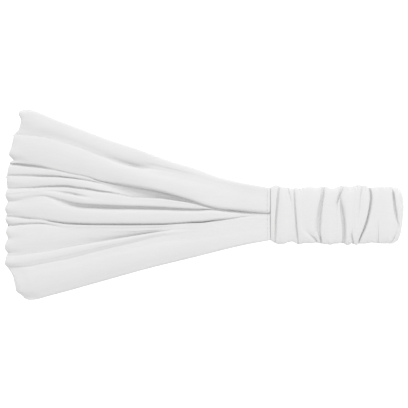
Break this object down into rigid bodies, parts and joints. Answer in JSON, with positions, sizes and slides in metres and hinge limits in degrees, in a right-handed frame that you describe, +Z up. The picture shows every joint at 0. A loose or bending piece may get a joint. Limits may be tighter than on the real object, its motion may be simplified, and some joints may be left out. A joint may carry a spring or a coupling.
{
  "type": "sports headband",
  "caption": "Wide jersey headband lying folded flat: a pleated two-ply fan panel sewn to a gathered elastic casing that stretches to fit the head.",
  "frame": {"origin": "centre of the footprint, on the surface that the folded band lies on", "axes": "+X from the panel's front fold to the casing's back fold, +Y across the panel, +Z up from the surface"},
  "size_m": [0.24, 0.114, 0.0134],
  "materials": {
    "jersey": "soft matt white jersey",
    "lining_jersey": "soft matt white jersey, knit reverse",
    "elastic_webbing": "ribbed woven elastic",
    "sewing_thread": "polyester sewing thread"
  },
  "bodies": {
    "front": {"face_panel": "jersey", "lining_panel": "lining_jersey", "upper_edge_seam": "sewing_thread", "lower_edge_seam": "sewing_thread", "join_seam_upper": "sewing_thread", "join_seam_lower": "sewing_thread", "topstitch_upper": "sewing_thread", "topstitch_lower": "sewing_thread", "overlock_upper": "sewing_thread", "overlock_lower": "sewing_thread"},
    "back": {"elastic_casing": "jersey", "elastic_webbing": "elastic_webbing", "casing_seam": "sewing_thread"}
  },
  "joints": [
    {"name": "elastic_stretch", "type": "slide", "parent": "front", "child": "back", "axis": [1, 0, 0], "range_m": [0, 0.04], "stiffness_N_per_m": 120, "deforming": ["elastic_casing", "elastic_webbing", "casing_seam"]}
  ]
}
